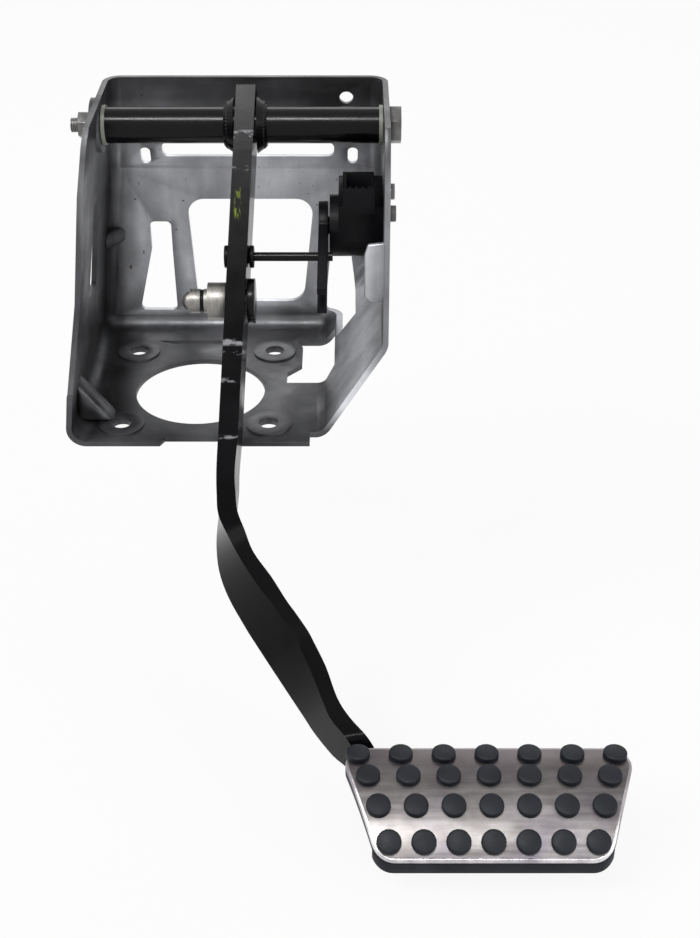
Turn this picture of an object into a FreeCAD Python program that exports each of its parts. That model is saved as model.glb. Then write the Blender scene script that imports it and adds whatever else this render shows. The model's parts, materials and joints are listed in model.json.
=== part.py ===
import FreeCAD, Part
import math
import os
import re
import Sketcher
from FreeCAD import Placement, Rotation, Vector

# Brake pedal assembly: pressed bracket, pivot, arm, pad and pedal sensor.
# Frame: origin at the centre of the four booster bolt holes on the mounting face,
# X to the right, Y from the driver's side towards the web, Z away from the mounting face.

SIZES = {
    # pressed bracket
    "sheet": 2.5,
    "web_y": 65.0,
    "floor_left": -55.5,
    "wall_lean": 0.117,
    "wall_right": 86.6,
    "bevel_start": 60.0,
    "bevel_rise": 40.0,
    "bracket_top": 139.0,
    "bracket_near": -50.0,
    "hood_start": 88.0,
    "hood_lean": 18.0,
    "fold_radius": 6.0,
    "punch_reach": 30.0,
    "edge_low": 26.0,
    "edge_y": -31.0,
    "edge_mid": 62.0,
    "edge_shoulder": 113.0,
    "edge_top": 133.0,
    "boss_deep": 4.5,
    # booster interface
    "bolt_pitch_x": 68.0,
    "bolt_pitch_y": 70.0,
    "bolt_hole_radius": 4.5,
    "boss_radius": 10.5,
    "boss_height": 1.0,
    "booster_radius": 30.8,
    "booster_y": -3.5,
    # pivot
    "pivot_y": 20.0,
    "pivot_z": 126.6,
    "pivot_boss_radius": 12.0,
    "pivot_left": -39.5,
    "bolt_radius": 4.0,
    "bolt_head_width": 15.0,
    "bolt_head_height": 5.5,
    "thread_radius": 3.1,
    "nut_width": 10.5,
    "nut_height": 6.0,
    "thread_out": 3.5,
    "sleeve_radius": 5.2,
    "running_gap": 0.05,
    "side_gap": 0.3,
    "bush_radius": 6.6,
    "bush_flange_radius": 8.8,
    "bush_flange": 1.6,
    "bush_length": 16.0,
    "tube_radius": 8.1,
    # arm
    "arm_x": 25.0,
    "arm_lean": 0.045,
    "arm_slope": 52.6,
    "arm_thickness": 8.6,
    "arm_front": 12.0,
    "arm_depth": 28.0,
    "stub_length": 19.0,
    "upper_length": 152.0,
    "end_depth": 22.0,
    "end_twist": -30.0,
    "elbow_handle": 51.0,
    "heel_x": 77.3,
    "heel_y": -131.8,
    "heel_z": -69.4,
    "toe_x": 78.0,
    "toe_y": -186.0,
    "toe_z": -80.0,
    "weld_size": 4.5,
    # pushrod pin
    "pin_along": 80.0,
    "pin_collar_radius": 8.2,
    "pin_collar": 9.5,
    "pin_radius": 5.4,
    "pin_length": 9.5,
    "pin_ring": 2.0,
    "pin_head": 3.2,
    "pin_head_radius": 10.0,
    # link rod to the sensor
    "rod_along": 60.0,
    "rod_radius": 2.0,
    "rod_end_x": 64.0,
    "grommet_radius": 5.0,
    "grommet_flange": 2.0,
    # pad
    "stud_high": 91.0,
    "stud_low": 57.5,
    "stud_top_left": 75.0,
    "stud_top_right": 181.4,
    "stud_low_left": 87.1,
    "stud_low_right": 170.3,
    "pad_y": -177.0,
    "pad_z": -139.0,
    "pad_radius": 66.0,
    "pad_low": 51.0,
    "pad_high": 97.0,
    "cover_sheet": 1.2,
    "rubber_thick": 5.0,
    "plate_thick": 3.0,
    "margin_top_left": 8.5,
    "margin_top_right": 9.6,
    "margin_low_left": 5.1,
    "margin_low_right": 5.2,
    "pad_corner": 9.0,
    "cover_edge": 2.2,
    "stud_radius": 5.2,
    "stud_height": 3.6,
    # sensor
    "sensor_y": 8.0,
    "sensor_z": 83.2,
    "sensor_radius": 14.0,
    "sensor_left": 62.5,
    "lever_x": 57.5,
    "lever_thick": 4.2,
    "lever_hub_radius": 11.0,
    "lever_length": 58.0,
    "lever_width": 13.0,
    "lever_slot": 7.0,
    "lever_pin_radius": 4.0,
    "lever_pin": 6.0,
    "connector_wall": 1.6,
    "connector_width": 14.0,
    "connector_height": 12.0,
    "connector_depth": 20.0,
}

doc = FreeCAD.newDocument("brake_pedal")
sheet = doc.addObject("Spreadsheet::Sheet", "Sizes")
for row, (name, value) in enumerate(SIZES.items(), start=1):
    sheet.set(f"A{row}", name)
    sheet.set(f"B{row}", str(value))
    sheet.setAlias(f"B{row}", name)
doc.recompute()


def linked(expression):
    """Write a formula of size names as one that reads the sheet."""
    def read(match):
        word = match.group(0)
        return "Sizes." + word if word in SIZES else word
    return re.sub(r"[A-Za-z_]\w*", read, str(expression))


def size(expression):
    """The present value of a formula of size names, in millimetres or degrees."""
    result = sheet.evalExpression(linked(expression))
    return float(getattr(result, "Value", result))


def bind(thing, prop, expression):
    thing.setExpression(prop, linked(expression))


def place(thing, x, y, z, turn=None):
    """Seat an object at a bound position, turned by a fixed rotation."""
    thing.Placement = Placement(Vector(size(x), size(y), size(z)), turn or Rotation())
    for axis, expression in zip("xyz", (x, y, z)):
        bind(thing, f"Placement.Base.{axis}", expression)


ALONG_X = Rotation(Vector(0, 1, 0), 90)


def cylinder(name, radius, length, x, y, z, turn=ALONG_X):
    thing = doc.addObject("Part::Cylinder", name)
    bind(thing, "Radius", radius)
    bind(thing, "Height", length)
    place(thing, x, y, z, turn)
    return thing


def hexagon(name, width, height, x, y, z):
    thing = doc.addObject("Part::Prism", name)
    thing.Polygon = 6
    bind(thing, "Circumradius", f"({width}) / 2 / cos(30 deg)")
    bind(thing, "Height", height)
    place(thing, x, y, z, ALONG_X)
    return thing


def box(name, length, width, height, x, y, z):
    thing = doc.addObject("Part::Box", name)
    bind(thing, "Length", length)
    bind(thing, "Width", width)
    bind(thing, "Height", height)
    place(thing, x, y, z)
    return thing


def fuse(name, things):
    joined = doc.addObject("Part::MultiFuse", name)
    joined.Shapes = things
    joined.Refine = True
    return joined


def cut(name, base, tool):
    result = doc.addObject("Part::Cut", name)
    result.Base = base
    result.Tool = tool
    return result


def origin_plane(body, role):
    return next(plane for plane in body.Origin.OriginFeatures if plane.Role == role)


def new_sketch(body, name, role, offset=None):
    sketch = body.newObject("Sketcher::SketchObject", name)
    sketch.AttachmentSupport = [(origin_plane(body, role), "")]
    sketch.MapMode = "FlatFace"
    if offset is not None:
        sketch.AttachmentOffset = offset
    return sketch


def pin_point(sketch, geometry, end, x, y):
    """Hold one point of a sketch at a pair of bound coordinates."""
    for kind, expression in (("DistanceX", x), ("DistanceY", y)):
        index = sketch.addConstraint(Sketcher.Constraint(kind, -1, 1, geometry, end, size(expression)))
        bind(sketch, f"Constraints[{index}]", expression)


def polygon(sketch, points):
    """A closed outline whose corners are pairs of formulas."""
    corners = [Vector(size(x), size(y), 0) for x, y in points]
    first = sketch.GeometryCount
    count = len(points)
    for index in range(count):
        sketch.addGeometry(Part.LineSegment(corners[index], corners[(index + 1) % count]), False)
    for index in range(count):
        following = first + (index + 1) % count
        sketch.addConstraint(Sketcher.Constraint("Coincident", first + index, 2, following, 1))
        pin_point(sketch, first + index, 1, *points[index])


def circle(sketch, x, y, radius):
    index = sketch.addGeometry(Part.Circle(Vector(size(x), size(y), 0), Vector(0, 0, 1), size(radius)), False)
    rule = sketch.addConstraint(Sketcher.Constraint("Radius", index, size(radius)))
    bind(sketch, f"Constraints[{rule}]", radius)
    pin_point(sketch, index, 3, x, y)


def pad(body, sketch, length):
    feature = body.newObject("PartDesign::Pad", sketch.Name + "_pad")
    feature.Profile = sketch
    bind(feature, "Length", length)
    return feature


def pocket_through(body, sketch):
    feature = body.newObject("PartDesign::Pocket", sketch.Name + "_cut")
    feature.Profile = sketch
    feature.Type = "ThroughAll"
    feature.Midplane = True
    return feature


def pocket_blind(body, sketch, length, flip=False):
    before = body.Shape.Volume
    feature = body.newObject("PartDesign::Pocket", sketch.Name + "_cut")
    feature.Profile = sketch
    feature.Reversed = flip
    bind(feature, "Length", length)
    doc.recompute()
    if feature.Shape.Volume > before - 1.0:
        raise RuntimeError(sketch.Name + " cuts nothing")
    return feature


def new_body(label):
    body = doc.addObject("PartDesign::Body", label)
    body.Label = label
    return body


def round_edges(body, feature, radius, wanted):
    """Fillet the edges of a feature that pass a test on their two ends."""
    doc.recompute()
    names = []
    for index, edge in enumerate(feature.Shape.Edges, start=1):
        if len(edge.Vertexes) == 2 and wanted(*[vertex.Point for vertex in edge.Vertexes]):
            names.append(f"Edge{index}")
    fillet = body.newObject("PartDesign::Fillet", feature.Name + "_round")
    fillet.Base = (feature, names)
    bind(fillet, "Radius", radius)
    doc.recompute()
    return fillet


# Pressed bracket: one tray of floor, side walls, web and hood, drawn from one sheet.
def tray_block(label, inset):
    """The solid that the tray wraps: its outside at inset 0, its hollow at one sheet."""
    body = new_body(label)
    section = new_sketch(body, label + "_section", "XZ_Plane", Placement(Vector(), Rotation()))
    bind(section, "AttachmentOffset.Base.z", f"-(web_y + sheet - {inset})")
    left = f"(floor_left - sheet + {inset})"
    right = f"(wall_right + sheet - {inset})"
    tall = f"(bracket_top + 4 * {inset})"
    polygon(section, [
        (f"{left} + wall_lean * {inset}", inset),
        (f"bevel_start - {inset} / 2", inset),
        (right, f"bevel_rise + {inset} / 2"),
        (right, tall),
        (f"{left} + wall_lean * {tall}", tall),
    ])
    pad(body, section, f"web_y + sheet - bracket_near + 4 * {inset}")
    doc.recompute()
    hood = new_sketch(body, label + "_hood", "YZ_Plane")
    back = f"(web_y + sheet - {inset})"
    polygon(hood, [
        (back, "hood_start"),
        (f"{back} + bracket_top", "hood_start"),
        (f"{back} + bracket_top", f"{tall} + sheet"),
        (f"{back} - ({tall} + sheet - hood_start) * tan(hood_lean * 1 deg)", f"{tall} + sheet"),
    ])
    sloped = pocket_through(body, hood)
    doc.recompute()
    rear = size(f"{back} - (bracket_top - hood_start) * tan(hood_lean * 1 deg)") - 20.0
    ceiling = size(tall) - 0.01

    def along_fold(start, end):
        top = start.z > ceiling and end.z > ceiling
        behind = start.y > rear and end.y > rear
        along_y = abs(start.x - end.x) < 0.01 and abs(start.z - end.z) < 0.01
        return (behind or along_y) and not top

    round_edges(body, sloped, f"fold_radius + sheet - {inset}", along_fold)
    return body


def cut_web(body, name, corners, radius):
    """Punch one opening through the web or hood, with rounded corners."""
    sketch = new_sketch(body, name, "XZ_Plane", Placement())
    bind(sketch, "AttachmentOffset.Base.z", "-(web_y - punch_reach)")
    polygon(sketch, corners)
    hole = pocket_blind(body, sketch, "2 * punch_reach")
    spots = [(size(x), size(z)) for x, z in corners]

    def at_corner(start, end):
        level = abs(start.x - end.x) < 0.01 and abs(start.z - end.z) < 0.01
        return level and any(math.hypot(start.x - x, start.z - z) < 0.01 for x, z in spots)

    round_edges(body, hole, radius, at_corner)


def cut_floor(body, name, corners):
    sketch = new_sketch(body, name, "XY_Plane", Placement())
    bind(sketch, "AttachmentOffset.Base.z", "4 * sheet")
    polygon(sketch, corners)
    pocket_blind(body, sketch, "6 * sheet")


def cut_side(body, name, plane_x, depth, corners):
    sketch = new_sketch(body, name, "YZ_Plane", Placement())
    bind(sketch, "AttachmentOffset.Base.z", plane_x)
    polygon(sketch, corners)
    pocket_blind(body, sketch, depth)


def build_bracket():
    outside = tray_block("tray_outside", "0")
    hollow = tray_block("tray_hollow", "sheet")
    tray = cut("tray", outside, hollow)
    doc.recompute()
    body = new_body("bracket")
    body.BaseFeature = tray
    doc.recompute()
    far = "bracket_near - 4 * sheet"
    high = "bracket_top + 10 * sheet"
    cut_side(body, "left_wall_edge", "0", "2 * wall_right", [
        (far, "edge_low"), ("bracket_near + 2", "edge_low"), ("edge_y", "edge_mid"),
        ("edge_y", "edge_shoulder"), ("edge_y + 8", "edge_top"), ("pivot_y - 12", high), (far, high)])
    cut_side(body, "right_wall_edge", "wall_right + 4 * sheet", "wall_right / 2", [
        (far, "-sheet"), ("edge_y - 12", "-sheet"), ("edge_y", "bevel_rise"),
        ("edge_y", "edge_shoulder"), ("edge_y + 8", "edge_top"), ("pivot_y - 12", high), (far, high)])
    cut_side(body, "left_wall_window", "0", "2 * wall_right", [
        ("0", "50"), ("24", "46"), ("24", "92"), ("8", "92")])
    cut_web(body, "main_window", [
        ("-9", "72"), ("54", "72"), ("48", "16"), ("-6", "16")], "8")
    cut_web(body, "left_keyhole", [
        ("-28", "60"), ("-17.5", "60"), ("-17.5", "45"), ("-17", "11"), ("-36", "11"), ("-28", "45")], "2.5")
    cut_web(body, "right_keyhole", [
        ("62", "60"), ("72", "60"), ("72", "45"), ("76", "11"), ("59", "11"), ("62", "45")], "2.5")
    cut_web(body, "top_slot", [
        ("-19", "103"), ("64", "103"), ("64", "95"), ("-19", "95")], "3")
    for name, x in (("left_slot", -27.2), ("right_slot", 73.0)):
        cut_web(body, name, [
            (f"{x} - 2.4", "100"), (f"{x} + 2.4", "100"), (f"{x} + 2.4", "91"), (f"{x} - 2.4", "91")], "2.2")
    cut_floor(body, "fold_slot", [("-26", "47"), ("14", "47"), ("14", "43.5"), ("-18", "43.5")])
    cut_floor(body, "side_opening", [
        ("45", "46"), ("72", "46"), ("74", "20"), ("60", "4"), ("41", "4"), ("41", "14"), ("48", "22"), ("48", "40")])
    cut_floor(body, "near_notch", [
        ("-20", far), ("-13", "-46"), ("15", "-46"), ("22", far)])
    bosses = new_sketch(body, "bolt_bosses", "XY_Plane", Placement())
    bind(bosses, "AttachmentOffset.Base.z", "sheet / 2")
    holes = [(f"{i} * bolt_pitch_x / 2", f"{j} * bolt_pitch_y / 2") for i in (-1, 1) for j in (-1, 1)]
    for x, y in holes:
        circle(bosses, x, y, "boss_radius")
    pad(body, bosses, "sheet / 2 + boss_height")
    doc.recompute()
    drilled = new_sketch(body, "booster_holes", "XY_Plane", Placement())
    bind(drilled, "AttachmentOffset.Base.z", "4 * sheet")
    for x, y in holes:
        circle(drilled, x, y, "bolt_hole_radius")
    circle(drilled, "0", "booster_y", "booster_radius")
    pocket_blind(body, drilled, "6 * sheet")
    boss = new_sketch(body, "pivot_boss", "YZ_Plane", Placement())
    bind(boss, "AttachmentOffset.Base.z", "pivot_left - boss_deep")
    circle(boss, "pivot_y", "pivot_z", "pivot_boss_radius")
    pad(body, boss, "boss_deep")
    doc.recompute()
    bore = new_sketch(body, "pivot_bore", "YZ_Plane", Placement())
    bind(bore, "AttachmentOffset.Base.z", "wall_right + 4 * sheet")
    circle(bore, "pivot_y", "pivot_z", "bolt_radius + running_gap")
    pocket_blind(body, bore, "2 * wall_right")
    eye = new_sketch(body, "hood_hole", "XZ_Plane", Placement())
    bind(eye, "AttachmentOffset.Base.z", "-(web_y - punch_reach)")
    circle(eye, "70", "128", "3.2")
    pocket_blind(body, eye, "2 * punch_reach")
    return body


def along_arm(distance, front):
    """A point of the arm's side view, by its distance from the pivot and towards the front edge."""
    slope = math.radians(size("arm_slope"))
    return Vector(
        size("arm_x") - size("arm_lean") * distance,
        size("pivot_y") - distance * math.cos(slope) - front * math.sin(slope),
        size("pivot_z") - distance * math.sin(slope) + front * math.cos(slope),
    )


def arm_section(body, index, point, direction, twist, depth):
    """One rectangle of the bar, its front edge's middle at the point."""
    side = Vector(1, 0, 0) - direction * direction.x
    side.normalize()
    rearward = side.cross(direction) * -1
    turn = Rotation(direction, twist)
    side = turn.multVec(side)
    rearward = turn.multVec(rearward)
    if rearward.z > 0:
        rearward = rearward * -1
    frame = Rotation(rearward, direction.cross(rearward), direction, "ZXY")
    sketch = new_sketch(body, f"arm_section_{index}", "XY_Plane", Placement(point, frame))
    polygon(sketch, [
        ("0", "-arm_thickness / 2"), (depth, "-arm_thickness / 2"),
        (depth, "arm_thickness / 2"), ("0", "arm_thickness / 2")])
    return sketch


def build_arm():
    """The flat bar: straight from its stub to the elbow, then swept and twisted to the pad."""
    body = new_body("arm_bar")
    start = along_arm(size("upper_length"), size("arm_front"))
    down = along_arm(size("upper_length") + 1.0, size("arm_front")) - start
    down.normalize()
    heel = Vector(size("heel_x"), size("heel_y"), size("heel_z"))
    toe = Vector(size("toe_x"), size("toe_y"), size("toe_z"))
    handle = start + down * size("elbow_handle")
    stub = along_arm(-size("stub_length"), size("arm_front"))
    stations = [(stub, down, 0.0, "arm_depth")]
    for step in range(ARM_STEPS + 1):
        share = step / ARM_STEPS
        rest = 1.0 - share
        point = (start * rest ** 3 + handle * (3 * share * rest ** 2)
                 + heel * (3 * share ** 2 * rest) + toe * share ** 3)
        run = (handle - start) * rest ** 2 + (heel - handle) * (2 * share * rest) + (toe - heel) * share ** 2
        run.normalize()
        twist = size("end_twist") * share * (2.0 - share)
        depth = f"arm_depth + (end_depth - arm_depth) * {share}"
        stations.append((point, run, twist, depth))
    sections = [arm_section(body, index, *station) for index, station in enumerate(stations)]
    for name, span, straight in (("arm_upper", sections[:2], True), ("arm_lower", sections[1:], False)):
        loft = body.newObject("PartDesign::AdditiveLoft", name)
        loft.Profile = span[0]
        loft.Sections = span[1:]
        loft.Ruled = straight
        doc.recompute()
    bore =cylinder("arm_bore", "tube_radius + running_gap", "2 * arm_x", "0", "pivot_y", "pivot_z")
    pin = along_arm(size("pin_along"), 0.0)
    rod = along_arm(size("rod_along"), 0.0)
    pin_hole = cylinder("pin_hole", "pin_radius", "2 * arm_x", "0", str(pin.y), str(pin.z))
    rod_hole = cylinder("rod_hole", "grommet_radius - grommet_flange", "2 * arm_x", "0", str(rod.y), str(rod.z))
    back_radius = size("pad_radius - cover_sheet - rubber_thick - plate_thick")
    back = shaped("pad_space", pad_layer(back_radius, 2.0 * back_radius, -6.0))
    tools = fuse("arm_cuts", [bore, pin_hole, rod_hole, back])
    return cut("pedal_arm", body, tools)


def pad_point(radius, angle, x=0.0):
    turn = math.radians(angle)
    return Vector(x, size("pad_y") - radius * math.cos(turn), size("pad_z") + radius * math.sin(turn))


def pad_edge(corner):
    """The place across of one corner of the pad, a margin outside the last stud of its row."""
    outward = "-" if corner.endswith("left") else "+"
    return size(f"stud_{corner} {outward} margin_{corner}")


def pad_outline(inset):
    """The pad's outline as a prism through all its layers, with rounded corners."""
    middle = size("(pad_low + pad_high) / 2")
    normal = pad_point(1.0, middle) - pad_point(0.0, middle)
    reach = size("pad_radius")
    corners = []
    for side, angle in (("top_left", "pad_high"), ("top_right", "pad_high"),
                        ("low_right", "pad_low"), ("low_left", "pad_low")):
        inward = inset if side.endswith("left") else -inset
        lift = size(angle) - math.degrees(inset / reach) * (1 if angle == "pad_high" else -1)
        corner = pad_point(reach, lift, pad_edge(side) + inward)
        corners.append(corner - normal * ((corner - pad_point(0.0, 0.0)).dot(normal) - reach * 0.6))
    face = Part.Face(Part.makePolygon(corners + corners[:1]))
    prism = face.extrude(normal * reach)
    posts = [edge for edge in prism.Edges if abs(edge.tangentAt(edge.FirstParameter).dot(normal)) > 0.99]
    return prism.makeFillet(size("pad_corner") - inset / 2, posts)


def pad_layer(inner, outer, inset):
    """One curved layer of the pad between two radii about the pad's centre line."""
    low, high = size("pad_low - 8"), size("pad_high + 8")
    left, right = pad_edge("top_left") - 4.0, pad_edge("top_right") + 4.0
    middle = (low + high) / 2
    arc_out = Part.Arc(*[pad_point(outer, angle, left) for angle in (low, middle, high)]).toShape()
    arc_in = Part.Arc(*[pad_point(inner, angle, left) for angle in (high, middle, low)]).toShape()
    sides = [Part.makeLine(pad_point(outer, high, left), pad_point(inner, high, left)),
             Part.makeLine(pad_point(inner, low, left), pad_point(outer, low, left))]
    wire = Part.Wire([arc_out, sides[0], arc_in, sides[1]])
    ring = Part.Face(wire).extrude(Vector(right - left, 0, 0))
    return ring.common(pad_outline(inset))


def stud_posts(radius, low, high):
    """The pad's studs, seven in each of four rows that draw in towards the pad's lower edge."""
    posts = []
    for row in range(STUD_ROWS):
        share = row / (STUD_ROWS - 1)
        angle = size("stud_high") + (size("stud_low") - size("stud_high")) * share ** STUD_SPREAD
        first = size("stud_top_left") + (size("stud_low_left") - size("stud_top_left")) * share
        last = size("stud_top_right") + (size("stud_low_right") - size("stud_top_right")) * share
        normal = pad_point(1.0, angle) - pad_point(0.0, angle)
        for column in range(STUD_COLUMNS):
            x = first + (last - first) * column / (STUD_COLUMNS - 1)
            posts.append(Part.makeCylinder(radius, high - low, pad_point(low, angle, x), normal))
    return posts


def shaped(name, shape):
    thing = doc.addObject("Part::Feature", name)
    thing.Shape = shape
    return thing


def build_pad():
    cover_in = size("pad_radius - cover_sheet")
    rubber_in = cover_in - size("rubber_thick")
    plate_in = rubber_in - size("plate_thick")
    edge = size("cover_edge")
    plate = shaped("pad_plate", pad_layer(plate_in, rubber_in, edge))
    rubber = pad_layer(rubber_in, cover_in, 0.0)
    studs = stud_posts(size("stud_radius"), cover_in - 1.0, size("pad_radius + stud_height"))
    pad_rubber = shaped("pad_rubber", rubber.fuse(studs).removeSplitter())
    holes = stud_posts(size("stud_radius + running_gap"), cover_in - 2.0, size("pad_radius + stud_height"))
    cover = pad_layer(cover_in, size("pad_radius"), edge / 2)
    pad_cover = shaped("pad_cover", cover.cut(holes))
    return [plate, pad_rubber, pad_cover]


def build_pivot():
    y, z = "pivot_y", "pivot_z"
    face_right = "wall_right + sheet"
    span = "(wall_right - pivot_left)"
    nut_x = "(pivot_left - boss_deep)"
    head = hexagon("bolt_head", "bolt_head_width", "bolt_head_height", face_right, y, z)
    shank = cylinder("bolt_shank", "bolt_radius", f"{face_right} - {nut_x}", nut_x, y, z)
    thread_out = "(nut_height + thread_out)"
    thread = cylinder("bolt_thread", "thread_radius", thread_out, f"{nut_x} - {thread_out}", y, z)
    bolt = fuse("pivot_bolt", [head, shank, thread])
    nut_block = hexagon("nut_block", "nut_width", "nut_height", f"{nut_x} - nut_height", y, z)
    nut_bore = cylinder("nut_bore", "thread_radius", "nut_height", f"{nut_x} - nut_height", y, z)
    nut = cut("pivot_nut", nut_block, nut_bore)
    sleeve_body = cylinder("sleeve_body", "sleeve_radius", span, "pivot_left", y, z)
    sleeve_bore = cylinder("sleeve_bore", "bolt_radius + running_gap", span, "pivot_left", y, z)
    sleeve = cut("inner_sleeve", sleeve_body, sleeve_bore)
    bushes = []
    inner = "sleeve_radius + running_gap"
    for side, outside, flange, barrel in (
            ("left", "pivot_left + side_gap", "pivot_left + side_gap", "pivot_left + side_gap + bush_flange"),
            ("right", "wall_right - side_gap - bush_flange - bush_length",
             "wall_right - side_gap - bush_flange", "wall_right - side_gap - bush_flange - bush_length")):
        rim = cylinder(f"bush_{side}_rim", "bush_flange_radius", "bush_flange", flange, y, z)
        core = cylinder(f"bush_{side}_core", "bush_radius", "bush_length", barrel, y, z)
        hole = cylinder(f"bush_{side}_hole", inner, "bush_length + bush_flange", outside, y, z)
        bushes.append(cut(f"bush_{side}", fuse(f"bush_{side}_blank", [rim, core]), hole))
    tube_x = "pivot_left + side_gap + bush_flange"
    tube_length = f"{span} - 2 * side_gap - 2 * bush_flange"
    tube_body = cylinder("tube_body", "tube_radius", tube_length, tube_x, y, z)
    tube_bore = cylinder("tube_bore", "bush_radius", tube_length, tube_x, y, z)
    tube = cut("pivot_tube", tube_body, tube_bore)
    welds = []
    for side in (-1, 1):
        cone = doc.addObject("Part::Cone", f"weld_cone_{side + 1}")
        bind(cone, "Radius1", "tube_radius + weld_size")
        bind(cone, "Radius2", "tube_radius + weld_size / 4")
        bind(cone, "Height", "weld_size")
        turn = Rotation(Vector(0, 1, 0), 90 * side)
        place(cone, f"arm_x + {side} * (arm_thickness / 2 + 3 * side_gap)", y, z, turn)
        hole = cylinder(f"weld_hole_{side + 1}", "tube_radius + running_gap", "4 * weld_size",
                        "arm_x - 2 * weld_size" if side < 0 else "arm_x", y, z)
        if side < 0:
            bind(hole, "Placement.Base.x", "arm_x - arm_thickness / 2 - 3 * weld_size")
        welds.append(cut(f"weld_{side + 1}", cone, hole))
    weld_beads = doc.addObject("Part::Compound", "weld_beads")
    weld_beads.Links = welds
    return [bolt, nut, sleeve, *bushes, tube, weld_beads]


def build_pins():
    pin = along_arm(size("pin_along"), 0.0)
    rod = along_arm(size("rod_along"), 0.0)
    y, z = str(pin.y), str(pin.z)
    left = f"({pin.x} - arm_thickness / 2)"
    right = f"({pin.x} + arm_thickness / 2)"
    collar = cylinder("pin_collar_body", "pin_collar_radius", "pin_collar", f"{left} - pin_collar - 2 * side_gap", y, z)
    nose = cylinder("pin_nose", "pin_radius", "pin_length", f"{left} - pin_collar - pin_length - 2 * side_gap", y, z)
    shank = cylinder("pin_shank", "pin_radius - running_gap", "arm_thickness + 4 * side_gap",
                     f"{left} - 2 * side_gap", y, z)
    head = cylinder("pin_head_disc", "pin_head_radius", "pin_head", f"{right} + 2 * side_gap", y, z)
    dome = doc.addObject("Part::Sphere", "pin_dome")
    bind(dome, "Radius", "pin_radius * 0.8")
    place(dome, f"{left} - pin_collar - pin_length - 2 * side_gap", y, z)
    blank = fuse("pin_blank", [collar, nose, shank, head, dome])
    ring_x = f"{left} - pin_collar - 2 * side_gap - pin_ring * 2"
    groove_out = cylinder("groove_out", "pin_radius * 2", "pin_ring", ring_x, y, z)
    groove_in = cylinder("groove_in", "pin_radius - 1", "pin_ring", ring_x, y, z)
    clevis_pin = cut("clevis_pin", blank, cut("pin_groove", groove_out, groove_in))
    ring_out = cylinder("ring_out", "pin_radius - 0.3", "pin_ring", ring_x, y, z)
    ring_in = cylinder("ring_in", "pin_radius - 1", "pin_ring", ring_x, y, z)
    ring = cut("pin_ring", ring_out, ring_in)
    y, z = str(rod.y), str(rod.z)
    left = f"({rod.x} - arm_thickness / 2)"
    outside = f"({left} - grommet_flange - side_gap)"
    whole = "(arm_thickness + 2 * grommet_flange + 2 * side_gap)"
    rims = []
    for name, x in (("left", outside), ("right", f"{left} + arm_thickness + side_gap")):
        rims.append(cylinder(f"grommet_{name}", "grommet_radius", "grommet_flange", x, y, z))
    barrel = cylinder("grommet_barrel", "grommet_radius - grommet_flange", whole, outside, y, z)
    passage = cylinder("grommet_bore", "rod_radius", whole, outside, y, z)
    grommet = cut("rod_grommet", fuse("grommet_blank", [*rims, barrel]), passage)
    link = cylinder("link_rod", "rod_radius", f"rod_end_x - {outside}", outside, y, z)
    return [clevis_pin, ring, grommet, link]


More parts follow.
